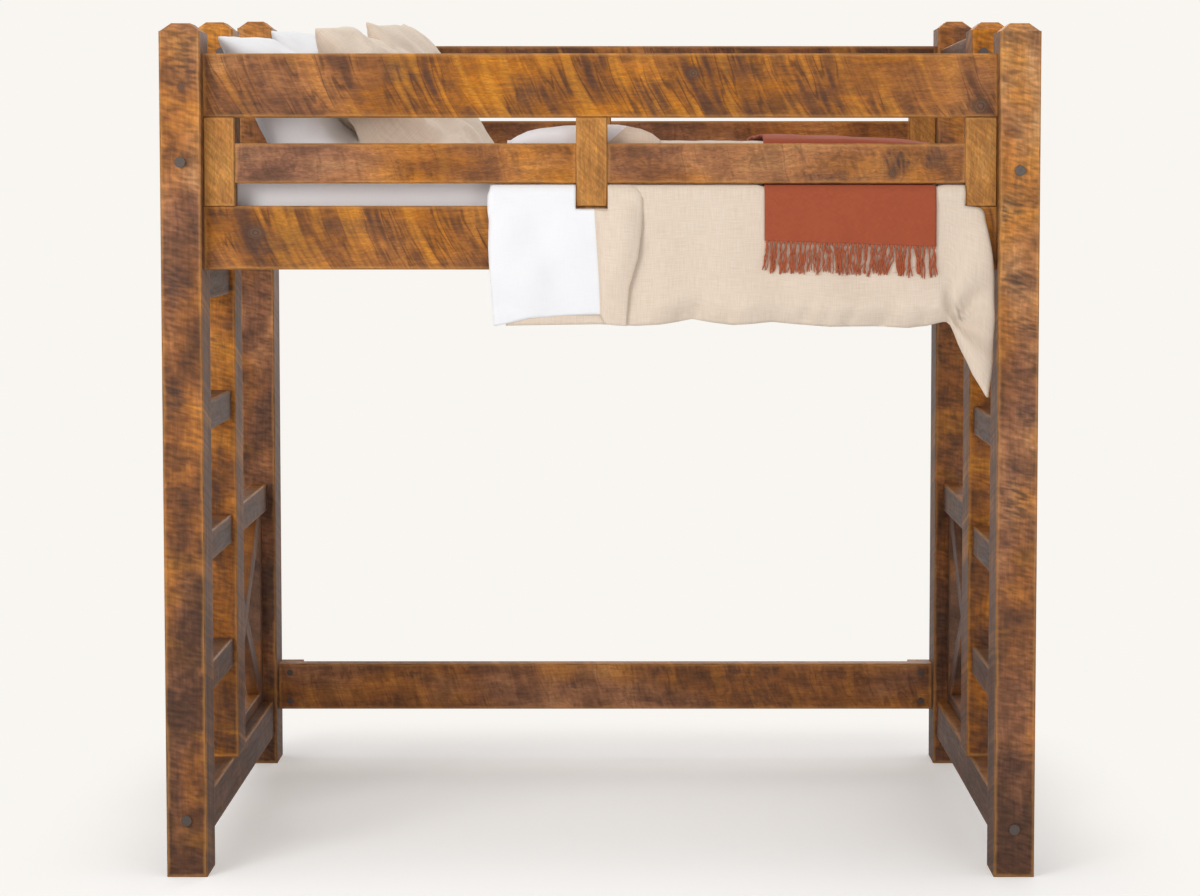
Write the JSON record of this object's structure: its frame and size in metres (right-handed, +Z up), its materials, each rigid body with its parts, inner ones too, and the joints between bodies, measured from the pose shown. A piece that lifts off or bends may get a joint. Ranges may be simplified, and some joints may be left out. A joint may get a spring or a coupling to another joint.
{
  "type": "loft bed",
  "caption": "Tall rustic timber loft bed on six posts, with built-in end ladders, guard rails, X braces, bolted rails, slatted deck, mattress, pillows, duvet and fringed throw.",
  "frame": {"origin": "on the floor, under the middle of the bed", "axes": "+X towards the foot of the bed, +Y from the open front towards the back, +Z up"},
  "size_m": [2.155, 1.612, 2.186],
  "materials": {
    "sawn_pine_posts": "rough-sawn, amber-brown stain, satin",
    "sawn_pine_rails": "rough-sawn, amber-brown stain, satin",
    "sawn_pine_end_timbers": "rough-sawn, brown stain, satin",
    "sawn_pine_braces": "rough-sawn, brown stain, satin",
    "planed_pine_deck": "bare planed pine, matt",
    "dark_bronze_bolts": "dark bronze, satin",
    "fitted_sheet": "white cotton sheet",
    "white_percale": "white cotton percale",
    "folded_percale": "white cotton percale with beige linen edge",
    "beige_linen": "slub linen",
    "rust_wool": "brushed wool twill"
  },
  "bodies": {
    "root": {"back_deck_cleat": "planed_pine_deck", "back_guard_blocks": "sawn_pine_rails", "back_left_guard_rail": "sawn_pine_rails", "back_right_guard_rail": "sawn_pine_rails", "back_side_rail": "sawn_pine_rails", "back_stretcher": "sawn_pine_rails", "back_top_rail": "sawn_pine_rails", "deck_centre_beam": "planed_pine_deck", "deck_slats": "planed_pine_deck", "duvet": "beige_linen", "far_beige_pillow": "beige_linen", "far_white_pillow": "white_percale", "front_deck_cleat": "planed_pine_deck", "front_guard_blocks": "sawn_pine_rails", "front_left_guard_rail": "sawn_pine_rails", "front_right_guard_rail": "sawn_pine_rails", "front_side_rail": "sawn_pine_rails", "front_top_rail": "sawn_pine_rails", "left_back_post": "sawn_pine_posts", "left_bottom_end_rail": "sawn_pine_end_timbers", "left_brace_frame": "sawn_pine_braces", "left_deck_end_rail": "sawn_pine_end_timbers", "left_end_guard_rail": "sawn_pine_end_timbers", "left_falling_brace": "sawn_pine_braces", "left_front_post": "sawn_pine_posts", "left_ladder_guard_rail": "sawn_pine_end_timbers", "left_ladder_rung_1": "sawn_pine_end_timbers", "left_ladder_rung_2": "sawn_pine_end_timbers", "left_ladder_rung_3": "sawn_pine_end_timbers", "left_ladder_rung_4": "sawn_pine_end_timbers", "left_middle_end_rail": "sawn_pine_end_timbers", "left_middle_post": "sawn_pine_posts", "left_rising_brace": "sawn_pine_braces", "left_top_end_rail": "sawn_pine_end_timbers", "mattress": "fitted_sheet", "near_beige_pillow": "beige_linen", "near_white_pillow": "white_percale", "post_bolts": "dark_bronze_bolts", "rail_bolts": "dark_bronze_bolts", "right_back_post": "sawn_pine_posts", "right_bottom_end_rail": "sawn_pine_end_timbers", "right_brace_frame": "sawn_pine_braces", "right_deck_end_rail": "sawn_pine_end_timbers", "right_end_guard_rail": "sawn_pine_end_timbers", "right_falling_brace": "sawn_pine_braces", "right_front_post": "sawn_pine_posts", "right_ladder_guard_rail": "sawn_pine_end_timbers", "right_ladder_rung_1": "sawn_pine_end_timbers", "right_ladder_rung_2": "sawn_pine_end_timbers", "right_ladder_rung_3": "sawn_pine_end_timbers", "right_ladder_rung_4": "sawn_pine_end_timbers", "right_middle_end_rail": "sawn_pine_end_timbers", "right_middle_post": "sawn_pine_posts", "right_rising_brace": "sawn_pine_braces", "right_top_end_rail": "sawn_pine_end_timbers", "stretcher_blocks": "sawn_pine_rails", "stretcher_lag_screws": "dark_bronze_bolts", "throw": "rust_wool", "turned_back_fold": "folded_percale"}
  },
  "joints": []
}
